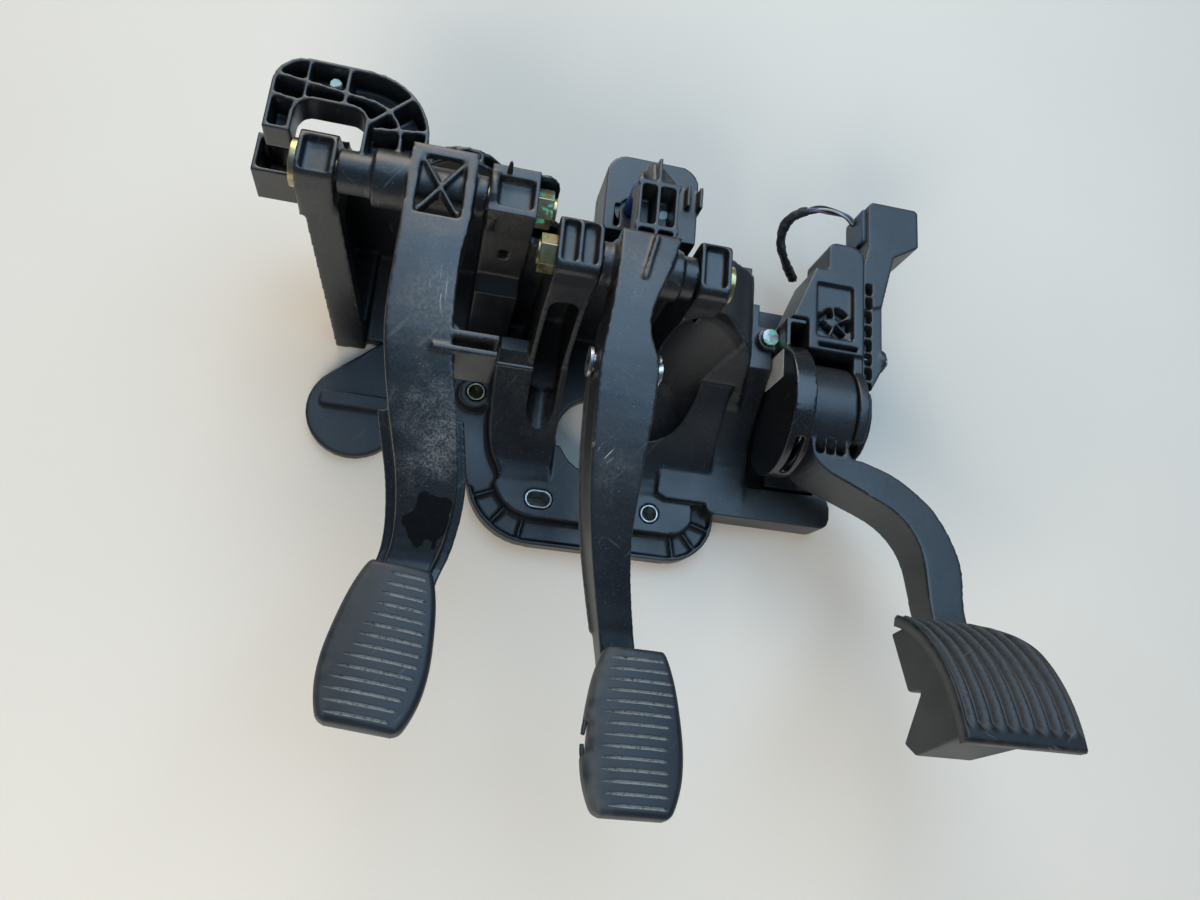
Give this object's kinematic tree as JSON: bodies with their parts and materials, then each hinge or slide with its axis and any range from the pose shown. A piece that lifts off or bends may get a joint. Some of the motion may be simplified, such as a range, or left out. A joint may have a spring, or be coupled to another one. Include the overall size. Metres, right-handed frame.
{
  "type": "pedal box",
  "caption": "Moulded pedal box with hinged clutch, brake and throttle pedals on one carrier that bolts to a firewall.",
  "frame": {"origin": "axis of the round stud sleeve at the firewall face", "axes": "+Z from the firewall towards the driver, +Y towards the car's roof, +X towards the throttle's side"},
  "size_m": [0.414, 0.3628, 0.1597],
  "materials": {
    "carrier_plastic": "moulded, satin, dusty",
    "arm_plastic": "moulded, satin, scuffed",
    "throttle_plastic": "moulded, satin",
    "foot_plastic": "moulded, matt",
    "pad_rubber": "worn, grooved",
    "throttle_pad_plastic": "worn ribs",
    "buffer_rubber": "matt",
    "sleeve_steel": "plated",
    "yellow_zinc": "yellow passivated zinc",
    "bright_steel": "bright",
    "teal_screw": "teal thread-lock coating",
    "bush_plastic": "natural",
    "switch_plastic": "moulded",
    "blue_plastic": "moulded",
    "plug_plastic": "moulded",
    "board_green": "solder resist",
    "magnet_grey": "sintered",
    "label_silver": "blank film",
    "harness_tape": "cloth tape"
  },
  "bodies": {
    "carrier_body": {"carrier": "carrier_plastic", "round_sleeve": "sleeve_steel", "slot_sleeve": "sleeve_steel", "side_sleeve": "sleeve_steel", "outrigger_foot": "foot_plastic", "clutch_pivot_bolt": "yellow_zinc", "clutch_pivot_nut": "yellow_zinc", "brake_pivot_bolt": "yellow_zinc", "brake_pivot_nut": "yellow_zinc", "clutch_stop_buffer": "buffer_rubber", "brake_stop_buffer": "buffer_rubber", "switch_cover": "carrier_plastic", "brake_switch": "switch_plastic", "throttle_housing": "throttle_plastic", "throttle_left_cover": "throttle_plastic", "throttle_sensor_cover": "throttle_plastic", "throttle_label": "label_silver", "throttle_pin": "bright_steel", "throttle_springs": "bright_steel", "sensor_board": "board_green", "throttle_screws": "teal_screw", "cover_screws": "bright_steel", "connector_plug": "plug_plastic", "harness": "harness_tape"},
    "clutch_body": {"clutch_arm": "arm_plastic", "clutch_bushes": "bush_plastic", "clutch_pad": "pad_rubber"},
    "brake_body": {"brake_arm": "arm_plastic", "brake_bushes": "bush_plastic", "brake_pad": "pad_rubber", "pushrod_pin": "bright_steel", "pushrod_clip": "bright_steel"},
    "throttle_body": {"throttle_arm": "throttle_plastic", "throttle_magnet": "magnet_grey", "throttle_pad": "throttle_pad_plastic"},
    "plunger_body": {"switch_plunger": "blue_plastic"}
  },
  "joints": [
    {"name": "clutch_pedal", "type": "hinge", "parent": "carrier_body", "child": "clutch_body", "pos_m": [-0.144, 0.121, 0.13], "axis": [1, 0, 0], "range_deg": [0, 24], "stiffness_Nm_per_rad": 2, "springref_deg": -28.65},
    {"name": "brake_pedal", "type": "hinge", "parent": "carrier_body", "child": "brake_body", "pos_m": [-0.038, 0.097, 0.13], "axis": [1, 0, 0], "range_deg": [0, 20], "stiffness_Nm_per_rad": 2.5, "springref_deg": -28.65},
    {"name": "throttle_pedal", "type": "hinge", "parent": "carrier_body", "child": "throttle_body", "pos_m": [0.085, 0.062, 0.058], "axis": [1, 0, 0], "range_deg": [0, 15], "stiffness_Nm_per_rad": 1.5, "springref_deg": -28.65},
    {"name": "switch_plunger", "type": "slide", "parent": "carrier_body", "child": "plunger_body", "axis": [0, 0, 1], "range_m": [0, 0.004]}
  ],
  "couplings": [
    {"joint": "switch_plunger", "follows": "brake_pedal", "m_per_rad": 0.0114}
  ]
}
